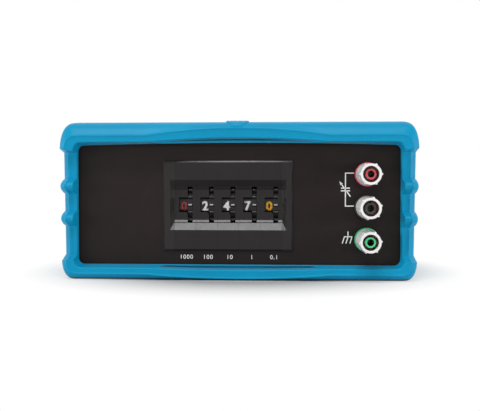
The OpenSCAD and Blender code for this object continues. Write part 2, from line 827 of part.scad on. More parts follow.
module bank_clamps() {
  x0 = hw + cap_plate;
  y0 = panel_t + thread_fit;
  color([0.6, 0.6, 0.62]) at_bank()
    for (m = [0, 1], s = [-1, 1]) mirror([m, 0, 0]) translate([0, 0, s * clamp_z]) difference() {
      union() {
        block(x0, x0 + clamp_t, y0, y0 + clamp_l, -clamp_h / 2, clamp_h / 2);
        block(x0, x0 + clamp_foot, y0, y0 + clamp_t, -clamp_h / 2, clamp_h / 2);
      }
      translate([0, clamp_screw_y, 0]) rod_along_x(0, far, clamp_screw_r + hole_fit / 2);
    }
}

module bank_screws() {
  x0 = hw + cap_plate + clamp_t;
  color([0.75, 0.75, 0.75]) at_bank()
    for (m = [0, 1], s = [-1, 1]) mirror([m, 0, 0]) translate([0, clamp_screw_y, s * clamp_z]) {
      rod_along_x(x0, x0 + clamp_head_h, 2 * clamp_screw_r);
      rod_along_x(hw + cap_plate / 4, x0 + joined, clamp_screw_r);
    }
}

module tie_rods() {
  end = hw + cap_plate + rod_nut_t + 1.2;
  color([0.75, 0.75, 0.75]) at_bank()
    for (s = [-1, 1]) translate([0, rod_y, s * rod_z]) rod_along_x(-end, end, rod_r);
}

module tie_rod_nuts() {
  x0 = hw + cap_plate;
  color([0.75, 0.75, 0.75]) at_bank()
    for (m = [0, 1], s = [-1, 1]) mirror([m, 0, 0]) translate([0, rod_y, s * rod_z]) difference() {
      translate([x0, 0, 0]) rotate([0, 90, 0]) cylinder(r = 2.2 * rod_r, h = rod_nut_t, $fn = 6);
      rod_along_x(0, far, rod_r + thread_fit);
    }
}

// Terminals: places are measured outwards from the panel's front face
module at_terminal(k) {
  translate([term_x, panel_y, open_z + term_mid_z + term_pitch * (1 - k)]) children();
}

module at_terminals() {
  for (k = [0 : 2]) at_terminal(k) children();
}

module out_rod(s0, s1, r) { rod_along_y(-s1, -s0, r); }

module terminal_base(k) {
  at_terminal(k) difference() {
    union() {
      out_rod(0, base_t, base_r);
      out_rod(-panel_t + joined, joined, term_hole_r - hole_fit);
    }
    out_rod(-far, far, stud_r + thread_fit);
  }
}

module terminal_base_red() { color([0.8, 0.2, 0.22]) terminal_base(0); }
module terminal_base_black() { color([0.12, 0.11, 0.11]) terminal_base(1); }
module terminal_base_green() { color([0.15, 0.7, 0.4]) terminal_base(2); }

module terminal_posts() {
  color([0.8, 0.78, 0.7]) at_terminals() difference() {
    union() {
      out_rod(base_t, thread_s1, thread_r);
      out_rod(stud_s, base_t + joined, stud_r);
      out_rod(thread_s1 - joined, ring_s1 - lip_s, spigot_r);
    }
    out_rod(ring_s1 - socket_depth, far, socket_r);
    block(-keyway_w / 2, keyway_w / 2, -far, -base_t - 0.01, thread_r - keyway_d, far);
    translate([0, -knob_s0 - 2 * wire_hole_r, 0]) rod_along_x(-far, far, wire_hole_r);
  }
}

module socket_ring(k) {
  at_terminal(k) difference() {
    out_rod(thread_s1, ring_s1, ring_r);
    out_rod(0, far, socket_r);
    out_rod(0, ring_s1 - lip_s, spigot_r + 0.02);
  }
}

module socket_ring_red() { color([0.88, 0.28, 0.32]) socket_ring(0); }
module socket_ring_black() { color([0.2, 0.19, 0.18]) socket_ring(1); }
module socket_ring_green() { color([0.27, 0.85, 0.5]) socket_ring(2); }

module terminal_knob(k) {
  root = knob_bore_r + 0.5;
  color([0.9, 0.9, 0.88]) at_terminal(k) difference() {
    union() {
      translate([0, -knob_s0, 0]) rotate([90, 0, 0])
        cylinder(r1 = knob_r_back, r2 = knob_r_front, h = knob_len);
      for (a = [0 : knob_ribs - 1]) rotate([0, a * 360 / knob_ribs - knob_turns[k], 0])
        along_y(-knob_s1 + 0.8, -knob_s0 - 1)
          polygon([[root, -knob_rib_w / 2], [knob_rib_r, -knob_rib_tip / 2],
            [knob_rib_r, knob_rib_tip / 2], [root, knob_rib_w / 2]]);
    }
    out_rod(0, far, thread_r + bearing_fit);
    out_rod(knob_s1 - knob_bore_l, far, knob_bore_r);
  }
}

module terminal_knob_red() { terminal_knob(0); }
module terminal_knob_black() { terminal_knob(1); }
module terminal_knob_green() { terminal_knob(2); }

module pressure_washer(k) {
  color([0.78, 0.76, 0.7]) at_terminal(k) {
    difference() {
      out_rod(washer_s0, washer_s0 + washer_t, washer_r);
      out_rod(0, far, thread_r + hole_fit);
    }
    block(-keyway_w / 2 + hole_fit, keyway_w / 2 - hole_fit, -washer_s0 - washer_t, -washer_s0,
      thread_r - keyway_d + hole_fit, thread_r + 3 * hole_fit);
  }
}

module pressure_washer_red() { pressure_washer(0); }
module pressure_washer_black() { pressure_washer(1); }
module pressure_washer_green() { pressure_washer(2); }

module terminal_bushes() {
  color([0.15, 0.15, 0.15]) at_terminals() difference() {
    out_rod(-panel_t - bush_t, -panel_t, bush_r);
    out_rod(-far, far, stud_r + thread_fit);
  }
}

module terminal_nuts() {
  color([0.8, 0.78, 0.7]) at_terminals() for (s = [tag_s, tag_s - tag_t - nut_t]) difference() {
    translate([0, -s, 0]) rotate([90, 0, 0]) cylinder(r = 1.85 * stud_r, h = nut_t, $fn = 6);
    out_rod(-far, far, stud_r + thread_fit);
  }
}

// Solder tags: one on each terminal stud and one under the earth screw
module tag() {
  difference() {
    union() {
      cylinder(r = tag_r, h = tag_t);
      translate([-tag_reach, -tag_w / 2, 0]) cube([tag_reach - tag_r + 1, tag_w, tag_t]);
    }
    translate([0, 0, -1]) cylinder(r = stud_r + thread_fit, h = tag_t + 2);
    translate([-tag_eye, 0, -1]) cylinder(r = tag_w / 4, h = tag_t + 2);
  }
}

module solder_tags() {
  color([0.8, 0.78, 0.72]) {
    at_terminals() translate([0, -tag_s + tag_t, 0]) rotate([90, 0, 0]) tag();
    translate([earth_x, earth_y, case_floor + case_wall]) rotate([0, 0, 180]) tag();
  }
}

module earth_screw() {
  z = case_floor + case_wall;
  color([0.75, 0.75, 0.75]) translate([earth_x, earth_y, 0]) {
    translate([0, 0, z + tag_t]) cylinder(r = screw_head_r, h = screw_head_h);
    translate([0, 0, z - case_wall + joined]) cylinder(r = case_screw_r, h = case_wall + tag_t);
  }
}

// Leads: a round wire along a smooth curve between two ends
function curve(p, t) = let (u = 1 - t)
  u * u * u * p[0] + 3 * t * u * u * p[1] + 3 * t * t * u * p[2] + t * t * t * p[3];
function unit(v) = v / norm(v);

module lead(p, side = [0, 0, 1]) {
  steps = 16;
  n = 10;
  rings = [for (k = [0 : steps]) let (
      t = k / steps,
      c = curve(p, t),
      d = unit(curve(p, min(1, t + 0.01)) - curve(p, max(0, t - 0.01))),
      u = unit(cross(side, d)),
      v = cross(d, u)
    ) [for (j = [0 : n - 1]) c + lead_r * (cos(360 * j / n) * u + sin(360 * j / n) * v)]];
  points = concat([for (r = rings, q = r) q], [p[0], p[3]]);
  walls = [for (k = [0 : steps - 1], j = [0 : n - 1])
    let (a = k * n + j, b = k * n + (j + 1) % n, c = a + n, d = b + n) each [[a, c, d], [a, d, b]]];
  first = (steps + 1) * n;
  ends = [for (j = [0 : n - 1]) each [[first, j, (j + 1) % n],
    [first + 1, steps * n + (j + 1) % n, steps * n + j]]];
  polyhedron(points, concat(walls, ends));
}

function tag_end(k) = [term_x - tag_eye - tag_w / 4, panel_y - tag_s + tag_t + lead_r + lead_gap,
  open_z + term_mid_z + term_pitch * (1 - k)];
function bus_end(s) = [bank_x + bus_x1 + lead_gap, panel_y + bus_y, open_z + s * bus_z];

module bus_lead(k, s) {
  a = tag_end(k);
  b = bus_end(s);
  lead([a, a - [2 * tag_eye, 0, 0], b + [2 * tag_reach, 0, 0], b]);
}

module lead_red() { color([0.75, 0.12, 0.12]) bus_lead(0, 1); }
module lead_black() { color([0.06, 0.06, 0.06]) bus_lead(1, -1); }

module lead_green() {
  a = tag_end(2);
  b = [earth_x + tag_eye + tag_w / 4, earth_y, case_floor + case_wall + tag_t + lead_r + lead_gap];
  run = [tag_reach + 2, -2, 0];
  color([0.2, 0.55, 0.2]) lead([a, a - run, b + [run[0], -run[1], 0], b], [0, 1, 0]);
}

rubber_boot();
case_base();
case_cover();
front_panel();
rear_panel();
case_screws();
end_cap_left();
end_cap_right();
bank_clamps();
bank_screws();
tie_rods();
tie_rod_nuts();
switch_housing_1();
switch_housing_2();
switch_housing_3();
switch_housing_4();
switch_housing_5();
thumbwheel_1();
thumbwheel_2();
thumbwheel_3();
thumbwheel_4();
thumbwheel_5();
wiper_1();
wiper_2();
wiper_3();
wiper_4();
wiper_5();
detent_spring_1();
detent_spring_2();
detent_spring_3();
detent_spring_4();
detent_spring_5();
contact_boards();
capacitors_1();
capacitors_2();
capacitors_3();
capacitors_4();
capacitors_5();
bus_bars();
terminal_base_red();
terminal_base_black();
terminal_base_green();
terminal_posts();
socket_ring_red();
socket_ring_black();
socket_ring_green();
terminal_knob_red();
terminal_knob_black();
terminal_knob_green();
pressure_washer_red();
pressure_washer_black();
pressure_washer_green();
terminal_bushes();
terminal_nuts();
solder_tags();
lead_red();
lead_black();
lead_green();
earth_screw();
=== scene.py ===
"""Looks of a capacitance decade box: rubber boot, black panel, five thumbwheels and three screw terminals."""

import math

import bmesh
import bpy
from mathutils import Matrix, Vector


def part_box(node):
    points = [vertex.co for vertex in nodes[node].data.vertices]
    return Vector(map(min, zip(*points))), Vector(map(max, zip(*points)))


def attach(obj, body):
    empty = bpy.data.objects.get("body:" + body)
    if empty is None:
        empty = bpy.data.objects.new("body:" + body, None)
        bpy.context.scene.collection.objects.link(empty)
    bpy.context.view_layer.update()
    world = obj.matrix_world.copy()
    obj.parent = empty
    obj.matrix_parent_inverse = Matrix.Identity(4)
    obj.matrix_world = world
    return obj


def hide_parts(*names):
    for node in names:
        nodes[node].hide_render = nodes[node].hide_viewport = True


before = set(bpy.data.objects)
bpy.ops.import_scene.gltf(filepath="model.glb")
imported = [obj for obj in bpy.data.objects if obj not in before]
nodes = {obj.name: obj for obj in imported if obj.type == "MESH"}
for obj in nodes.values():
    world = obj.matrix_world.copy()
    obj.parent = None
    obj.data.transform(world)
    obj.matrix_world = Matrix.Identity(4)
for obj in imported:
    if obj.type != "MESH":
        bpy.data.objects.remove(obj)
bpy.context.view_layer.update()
MM = 0.001

# Boot, in millimetres: outside, seat on the case, and how far the walls stand back and lean in
BOOT_W = 209.0
BOOT_H = 92.0
BOOT_D = 130.0
BASE_TRIM = 0.5
RIM_FRONT = 8.5
BOOT_FIT = 0.15
RELIEF_OUT = 1.1
RELIEF_FRONT = 5.5
FOOT_IN = 0.9

# Corners of the boot: their chamfers, and powers that make the outer form squarer than the opening
HEAD_UP = 1.5
FOOT_DOWN = 1.3
CORNER_STEP = 2.2
FOOT_STEP = 3.6
CORNER_SQUARE_X = 0.47
CORNER_SQUARE_Z = 0.95

# Ridges of the side walls
RIDGE_CHORD = 8.9
RIDGE_RISE = 1.1
RIDGE_GAP = 19.0
RIDGE_MID_Z = 44.9

# Roll of the edges: reach, depth, the angles where it starts, plain or scooped, and half a scoop's length
ROLL_TOP = 17.6
ROLL_BOTTOM = 8.3
ROLL_SIDE = 8.0
ROLL_DEEP_TOP = 0.6 * ROLL_TOP
ROLL_DEEP_BOTTOM = 0.8 * ROLL_BOTTOM
ROLL_DEEP_SIDE = 0.7 * ROLL_SIDE
CREASE = math.radians(32)
SCOOP_TOP = math.radians(50)
SCOOP_BOTTOM = math.radians(54)
SCOOP_HALF = 53.0

# Lip round the opening and the bead inside it
OPENING_CROWN = 1.4
BEAD_T = 1.4
BEAD_IN = 0.1
LIP_IN = 1.2
LIP_LOW = 0.3
LIP_TOP_MORE = 0.2
LIP_ROUND = 1.0
LIP_CUT_TOP = 2.4
LIP_CUT_BOTTOM = 1.2
GROOVE_IN = 0.5

# Bead and gap under a lip: share of the way to the lip, reach outwards, place in front of the bead
GAP_DEEP = 1.1
GAP_STEEP = 3.0
GAP_WIDE_TOP = 2.0
LIP_UNDER = 0.2
LIP_UNDER_SHARE = 0.9
LIP_PROFILE = (
    (0.1, 0.28, 0.25),
    (0.2, 0.5, 0.3),
    (0.35, 0.68, 0.2),
    (0.5, 0.75, -0.9),
    (0.7, 0.8, -GAP_DEEP),
)

# Fine bead along the crease: inset on the face or share of the roll, then share of the bead's height
CREASE_BEAD = 0.45
CREASE_FACE = ((0.8, 0.0), (0.5, 0.35), (0.25, 0.8))
CREASE_ROLL = ((0.0, 1.0), (0.015, 0.85), (0.03, 0.5), (0.05, 0.15), (0.07, 0.0))

# Lens-shaped lugs on the bars: share of the outline and height over the roll, from the root to the top
LUG_RISE = 0.8
LUG_EDGE = ((1.0, -0.6), (1.0, 0.3), (0.98, 0.55), (0.94, 0.72))
LUG_LEVELS = LUG_EDGE + tuple((share, LUG_RISE) for share in (0.86, 0.7, 0.5, 0.3, 0.1))
LUG_TOP = {"width": 13.5, "depth": 9.0, "back": 7.2}
LUG_BOTTOM = {"width": 9.5, "depth": 6.0, "back": 5.5}
LUG_STEEPEST = 0.98

# Mesh of the boot: steps, degrees round a corner, closest where it turns fastest, and the sharp-edge angle
BAR_STEPS = 88
RIDGE_STEPS = 20
LIP_STEPS = 6
ROLL_STEPS = 10
LUG_STEPS = 24
CORNER_TURNS = (1, 2, 3, 4.2, 5.5, 8, 11, *range(15, 85, 5), 83.5, 86.5, 88.5)
BOOT_SHARP = 50.0

# Panel opening and case
OPEN_W = 189.0
OPEN_H = 70.0
OPEN_Z = 43.4
OPEN_R = 3.5
CASE_R = 6.5

# Thumbwheel bank
DECADES = 5
PITCH = 12.7
BAND_R = 13.3
BAND_W = 5.2
TOOTH_TIP_R = 15.6
TOOTH_R = 1.05
TOOTH_W = 2.6

# Ink, and printing on the wheels
INK_T = 0.03
INK_LIFT = 0.02
SHOWN = (0, 2, 4, 7, 0)
DIGITS_A_TURN = 10
DIGIT_H = 6.0
DIGIT_W = 4.5
DIGIT_DROP = 0.7
DIGIT_BOLD = 0.036
DIGIT_STRIPS = 14
MARK_W = 2.0
MARK_REACH = math.radians(14)
MARK_STEPS = 6

# Printing on the panel, with heights from the middle of the opening
LABELS = ("1000", "100", "10", "1", "0.1")
LABEL_Z = -30.7
LABEL_H = 2.5
LABEL_SPACING = 1.15
LABEL_SHIFT = 1.2
LABEL_SPREAD = 1.008
LINE = 0.62
MITRE_LIMIT = 0.3

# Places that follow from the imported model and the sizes
panel_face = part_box("front_panel")[0].y / MM
corner_x = OPEN_W / 2 - OPEN_R
corner_zt = OPEN_Z + OPEN_H / 2 - OPEN_R
corner_zb = OPEN_Z - OPEN_H / 2 + OPEN_R
head_z = corner_zt + HEAD_UP
foot_z = corner_zb - FOOT_DOWN
top_reach = BOOT_H - corner_zt
bottom_reach = corner_zb + BASE_TRIM
seat_y = BOOT_D / 2 - RIM_FRONT + BOOT_FIT
ridge_places = (RIDGE_MID_Z - RIDGE_GAP / 2, RIDGE_MID_Z + RIDGE_GAP / 2)


def finish_piece(name, mesh, material, body):
    """Links a mesh as a piece of the object that rides on a body."""
    mesh.materials.clear()
    mesh.materials.append(material)
    piece = bpy.data.objects.new(name, mesh)
    bpy.context.scene.collection.objects.link(piece)
    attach(piece, body)
    return piece


def smooth_mesh(name, points, faces, sharp):
    """Makes a mesh from millimetre points, smooth except at edges sharper than an angle in degrees."""
    mesh = bpy.data.meshes.new(name)
    mesh.from_pydata([Vector(p) * MM for p in points], [], faces)
    work = bmesh.new()
    work.from_mesh(mesh)
    bmesh.ops.recalc_face_normals(work, faces=work.faces)
    work.to_mesh(mesh)
    work.free()
    mesh.shade_smooth()
    mesh.set_sharp_from_angle(angle=math.radians(sharp))
    return mesh


# Shader helpers: each adds nodes to a tree and returns the node or the socket to use
def add_node(tree, kind, **settings):
    node = tree.nodes.new(kind)
    for key, value in settings.items():
        setattr(node, key, value)
    return node


def feed(tree, socket, value):
    """Sets a socket to a constant or links it to another socket."""
    if isinstance(value, bpy.types.NodeSocket):
        tree.links.new(value, socket)
    else:
        socket.default_value = value


def noise(tree, scale, detail=3.0, roughness=0.55):
    """Noise over the object's own coordinates, scale in features a metre."""
    place = add_node(tree, "ShaderNodeTexCoord")
    node = add_node(tree, "ShaderNodeTexNoise")
    tree.links.new(place.outputs["Object"], node.inputs["Vector"])
    node.inputs["Scale"].default_value = scale
    node.inputs["Detail"].default_value = detail
    node.inputs["Roughness"].default_value = roughness
    return node.outputs["Fac"]


def spread(tree, value, from_low, from_high, to_low, to_high):
    """Maps a value from one range to another, clamped."""
    node = add_node(tree, "ShaderNodeMapRange")
    feed(tree, node.inputs["Value"], value)
    node.inputs["From Min"].default_value = from_low
    node.inputs["From Max"].default_value = from_high
    node.inputs["To Min"].default_value = to_low
    node.inputs["To Max"].default_value = to_high
    return node.outputs["Result"]


def math_node(tree, operation, a, b):
    node = add_node(tree, "ShaderNodeMath", operation=operation)
    feed(tree, node.inputs[0], a)
    feed(tree, node.inputs[1], b)
    return node.outputs[0]


def blend_colour(tree, factor, a, b):
    """Mixes two colours, each a socket or three numbers, by the colour sockets of a mix node."""
    node = add_node(tree, "ShaderNodeMix", data_type="RGBA")
    feed(tree, node.inputs[0], factor)
    feed(tree, node.inputs[6], a if isinstance(a, bpy.types.NodeSocket) else (*a, 1))
    feed(tree, node.inputs[7], b if isinstance(b, bpy.types.NodeSocket) else (*b, 1))
    return node.outputs[2]


def rounded_normal(tree, radius):
    """A normal that rolls over sharp edges, radius in millimetres."""
    node = add_node(tree, "ShaderNodeBevel", samples=6)
    node.inputs["Radius"].default_value = radius * MM
    return node.outputs["Normal"]


# Ranges that the masks of a finish are cut from, and strengths that all finishes share
CLOUDS = (0.3, 0.7)
WORN_PATCHES = (0.42, 0.62)
WORN_MOST = 0.35
SCUFF_PATCHES = (0.6, 0.72)
EDGE_COSINES = (0.995, 0.90)
RECESS_OPENNESS = (0.12, 0.42)
SHEEN_ROUGH = 0.22
BUMP_STRENGTH = 0.6


def edge_mask(tree, radius):
    """1 along edges and 0 on faces, found where the rolled normal leaves the true one."""
    dot = add_node(tree, "ShaderNodeVectorMath", operation="DOT_PRODUCT")
    tree.links.new(rounded_normal(tree, radius), dot.inputs[0])
    tree.links.new(add_node(tree, "ShaderNodeNewGeometry").outputs["Normal"], dot.inputs[1])
    return spread(tree, dot.outputs["Value"], *EDGE_COSINES, 0.0, 1.0)


def recess_mask(tree, reach):
    """Where painted shade goes: 1 deep in holes and gaps and 0 on open surfaces, reach in millimetres."""
    node = add_node(tree, "ShaderNodeAmbientOcclusion", samples=8)
    node.inputs["Distance"].default_value = reach * MM
    return spread(tree, node.outputs["AO"], *RECESS_OPENNESS, 1.0, 0.0)


def surface(name, low, high, rough, metallic=0.0, specular=0.5, blotch=45, grain=5000, relief=0.012,
            bevel=0.15, worn=None, scuff=0.0, sheen=0.0, grime=None, reach=5.0, dull=True):
    """A procedural finish: clouded colour, grain, worn edges, uneven gloss and painted shade in deep
    recesses.

    low and high are the two clouded colours, rough the range of roughness, blotch and grain the features a
    metre of clouds and grain, relief, bevel and reach millimetres, worn the colour of wear, grime the
    colour of painted shade in recesses, and dull says that the painted shade takes the gloss away too.
    """
    material = bpy.data.materials.new(name)
    material.use_nodes = True
    tree = material.node_tree
    shader = tree.nodes["Principled BSDF"]
    shader.inputs["Metallic"].default_value = metallic
    shader.inputs["Specular IOR Level"].default_value = specular
    shader.inputs["Sheen Weight"].default_value = sheen
    shader.inputs["Sheen Roughness"].default_value = SHEEN_ROUGH
    clouds = spread(tree, noise(tree, blotch, detail=4), *CLOUDS, 0.0, 1.0)
    colour = blend_colour(tree, clouds, low, high)
    if worn:
        patches = spread(tree, noise(tree, 8 * blotch), *WORN_PATCHES, 0.0, WORN_MOST)
        worn_edge = math_node(tree, "MULTIPLY", edge_mask(tree, 2 * bevel), patches)
        colour = blend_colour(tree, worn_edge, colour, worn)
    if scuff:
        scratches = noise(tree, 3 * blotch, detail=6, roughness=0.7)
        marks = spread(tree, scratches, *SCUFF_PATCHES, 0.0, scuff)
        colour = blend_colour(tree, marks, colour, worn or high)
    # Painted shade: the colour goes towards the recess colour where ambient occlusion finds a hollow
    if grime:
        shade_share = recess_mask(tree, reach)
        colour = blend_colour(tree, shade_share, colour, grime)
    # The painted shade can also take the specular level, and on metal the metallic, away in hollows
    if grime and dull:
        feed(tree, shader.inputs["Specular IOR Level"], spread(tree, shade_share, 0.0, 1.0, specular, 0.0))
    if grime and dull and metallic:
        feed(tree, shader.inputs["Metallic"], spread(tree, shade_share, 0.0, 1.0, metallic, 0.0))
    tree.links.new(colour, shader.inputs["Base Color"])
    gloss = noise(tree, 2.2 * blotch, detail=5)
    tree.links.new(spread(tree, gloss, *CLOUDS, *rough), shader.inputs["Roughness"])
    bump = add_node(tree, "ShaderNodeBump")
    bump.inputs["Strength"].default_value = BUMP_STRENGTH
    bump.inputs["Distance"].default_value = relief * MM
    tree.links.new(noise(tree, grain, detail=2), bump.inputs["Height"])
    if bevel:
        tree.links.new(rounded_normal(tree, bevel), bump.inputs["Normal"])
    tree.links.new(bump.outputs["Normal"], shader.inputs["Normal"])
    return material


finishes = {}


def finish(name, low, high, rough, **more):
    """Makes a finish and keeps it under its name."""
    finishes[name] = surface(name, low, high, rough, **more)


# Finishes of the boot, the case and the panel
# The boot's recess colour is painted shade, darkest in the gap under the lip
finish("boot_rubber", (0.0005, 0.280, 0.500), (0.001, 0.308, 0.545), (0.36, 0.44), specular=0.17, blotch=30,
       grain=3800, relief=0.015, bevel=0.0, scuff=0.12, sheen=0.2, grime=(0.0005, 0.02, 0.045), reach=4.0,
       dull=False)
finish("case_metal", (0.008, 0.007, 0.007), (0.012, 0.0105, 0.0105), (0.5, 0.62), specular=0.12, blotch=25,
       worn=(0.03, 0.03, 0.03))
finish("panel_paint", (0.0135, 0.0092, 0.0088), (0.017, 0.0122, 0.0115), (0.5, 0.62), specular=0.15,
       blotch=28, grain=4200, relief=0.03, bevel=0.25, worn=(0.16, 0.15, 0.14), scuff=0.02)

# Finishes of the thumbwheel bank, where the end caps are a little lighter than the modules
finish("bank_plastic", (0.0105, 0.0077, 0.0079), (0.0132, 0.0099, 0.0101), (0.18, 0.23), specular=0.28,
       blotch=60, grain=6500, relief=0.006, bevel=0.05, worn=(0.05, 0.049, 0.049))
finish("cap_plastic", (0.021, 0.0175, 0.0178), (0.025, 0.021, 0.0213), (0.2, 0.26), specular=0.2,
       blotch=60, grain=6500, relief=0.006, bevel=0.05, worn=(0.06, 0.058, 0.058))
finish("wheel_plastic", (0.004, 0.0038, 0.004), (0.007, 0.0066, 0.007), (0.22, 0.3), specular=0.35,
       blotch=90, grain=7000, relief=0.006, bevel=0.15, worn=(0.05, 0.05, 0.05))
finish("wiper_bronze", (0.5, 0.31, 0.11), (0.66, 0.44, 0.18), (0.2, 0.34), metallic=1.0,
       blotch=120, grain=3000, relief=0.004, bevel=0.05)
finish("board_laminate", (0.02, 0.13, 0.05), (0.035, 0.18, 0.08), (0.25, 0.4),
       blotch=50, grain=2500, bevel=0.1, worn=(0.45, 0.42, 0.2))
finish("capacitor_resin", (0.42, 0.14, 0.02), (0.5, 0.2, 0.035), (0.15, 0.26),
       blotch=140, grain=1500, relief=0.03, bevel=0.5, worn=(0.6, 0.33, 0.1))

# Finishes of the terminals and the leads
finish("terminal_red", (0.60, 0.05, 0.075), (0.72, 0.075, 0.10), (0.22, 0.34),
       blotch=150, bevel=0.2, worn=(0.85, 0.3, 0.3))
finish("terminal_black", (0.022, 0.02, 0.018), (0.04, 0.036, 0.032), (0.25, 0.36),
       blotch=150, bevel=0.2, worn=(0.16, 0.15, 0.14))
finish("terminal_green", (0.045, 0.64, 0.22), (0.065, 0.76, 0.29), (0.22, 0.34),
       blotch=150, bevel=0.2, worn=(0.4, 0.8, 0.55))
# The knobs' recess colour is painted shade, tinted warm like bounced light, in the bore round each post
finish("knob_white", (0.86, 0.855, 0.845), (0.92, 0.915, 0.91), (0.2, 0.32),
       blotch=110, relief=0.004, bevel=0.3, worn=(0.8, 0.79, 0.77), scuff=0.05, grime=(0.42, 0.11, 0.06))
finish("bush_plastic", (0.02, 0.02, 0.02), (0.035, 0.035, 0.035), (0.35, 0.5),
       blotch=120, worn=(0.12, 0.12, 0.12))
finish("lead_red", (0.42, 0.015, 0.015), (0.55, 0.03, 0.03), (0.28, 0.4), blotch=200, bevel=0.0)
finish("lead_black", (0.01, 0.01, 0.01), (0.02, 0.02, 0.02), (0.28, 0.4), blotch=200, bevel=0.0)
finish("lead_green", (0.02, 0.2, 0.03), (0.035, 0.28, 0.05), (0.28, 0.4), blotch=200, bevel=0.0)

# Finishes of bare metal
# The brass's recess colour is painted shade deep in the socket bores, where it also takes the gloss away
finish("plated_brass", (0.64, 0.6, 0.5), (0.76, 0.73, 0.65), (0.16, 0.3), metallic=1.0,
       blotch=160, grain=2600, relief=0.006, bevel=0.1, worn=(0.7, 0.5, 0.22), grime=(0.012, 0.010, 0.008))
finish("bright_steel", (0.52, 0.52, 0.54), (0.66, 0.66, 0.67), (0.2, 0.36), metallic=1.0,
       blotch=140, grain=2600, relief=0.006, bevel=0.1, worn=(0.4, 0.38, 0.34))

# Inks
finish("print_white", (0.88, 0.875, 0.865), (0.93, 0.925, 0.92), (0.4, 0.55),
       blotch=300, bevel=0.0, worn=(0.7, 0.69, 0.68), scuff=0.15)
finish("print_mark", (0.50, 0.495, 0.49), (0.58, 0.575, 0.57), (0.4, 0.55),
       blotch=300, bevel=0.0, worn=(0.4, 0.395, 0.39), scuff=0.15)
finish("print_red", (0.27, 0.022, 0.024), (0.34, 0.034, 0.036), (0.4, 0.55),
       blotch=300, bevel=0.0, worn=(0.2, 0.02, 0.02), scuff=0.2)
finish("print_yellow", (0.82, 0.40, 0.010), (0.92, 0.48, 0.02), (0.4, 0.55),
       blotch=300, bevel=0.0, worn=(0.6, 0.3, 0.02), scuff=0.2)

for part in nodes.values():
    for place in part.material_slots:
        place.material = finishes[place.material.name]
for end in ("end_cap_left", "end_cap_right"):
    nodes[end].material_slots[0].material = finishes["cap_plastic"]


# Boot: the part's own section swept round the case, in finer steps
def ramp(t):
    return min(1.0, max(0.0, t))


def ridge(z, at):
    """Height of a round ridge, as a share of the relief between ridges."""
    radius = ((RIDGE_CHORD / 2) ** 2 + RIDGE_RISE ** 2) / (2 * RIDGE_RISE)
    off = abs(z - at)
    if off >= RIDGE_CHORD / 2:
        return 0.0
    return (math.sqrt(radius ** 2 - off ** 2) - radius + RIDGE_RISE) / RELIEF_OUT


def fullness(z):
    """1 on the corners and the tops of the ridges, 0 between them."""
    corners = max(ramp(1 - (head_z - z) / CORNER_STEP), ramp(1 - (z - foot_z) / FOOT_STEP))
    return max(corners, *(ridge(z, at) for at in ridge_places))


def taper(z):
    """How far a side wall leans in, from nothing at the upper corners to the most at the lower ones."""
    return FOOT_IN * ramp((head_z - z) / (head_z - foot_z))


def scoop(x):
    """Depth of the hollow in the front of a bar, 1 in the middle and 0 from its ends on."""
    return max(0.0, 1 - (x / SCOOP_HALF) ** 2)


def side_heights():
    """Heights along a side wall, closer together on the chamfers and ridges."""
    heights = [corner_zb, (corner_zb + foot_z + FOOT_STEP) / 2, foot_z + FOOT_STEP]
    for at in ridge_places:
        first = at - RIDGE_CHORD / 2
        heights.append((heights[-1] + first) / 2)
        for k in range(RIDGE_STEPS + 1):
            heights.append(at - RIDGE_CHORD / 2 * math.cos(math.pi * k / RIDGE_STEPS))
    last = head_z - CORNER_STEP
    return heights + [(heights[-1] + last) / 2, last, corner_zt]


def bar_stations(up, places):
    z = corner_zt if up > 0 else corner_zb
    return [(x, z, (0, up), (0, up), 1, scoop(x)) for x in places]


def side_stations(out, places):
    return [(out * corner_x, z, (out, 0), (out, 0), fullness(z), 0) for z in places]


def corner_stations(out, up, turns):
    z, reach = (corner_zt, top_reach) if up > 0 else (corner_zb, bottom_reach)
    stations = []
    for turn in turns:
        across, rise = math.cos(math.radians(turn)), math.sin(math.radians(turn))
        weights = (out * across ** CORNER_SQUARE_X, up * rise ** CORNER_SQUARE_Z)
        full = fullness(z + weights[1] * reach)
        stations.append((out * corner_x, z, weights, (out * across, up * rise), full, 0))
    return stations


def boot_stations():
    """Where the sections stand, from the top left: see boot_section for what each station holds."""
    xs = [-corner_x + 2 * corner_x * k / BAR_STEPS for k in range(BAR_STEPS + 1)]
    heights = side_heights()
    right = corner_stations(1, 1, CORNER_TURNS[::-1]) + side_stations(1, heights[::-1])
    right += corner_stations(1, -1, CORNER_TURNS)
    left = corner_stations(-1, -1, CORNER_TURNS[::-1]) + side_stations(-1, heights)
    left += corner_stations(-1, 1, CORNER_TURNS)
    return bar_stations(1, xs) + right + bar_stations(-1, xs[::-1]) + left


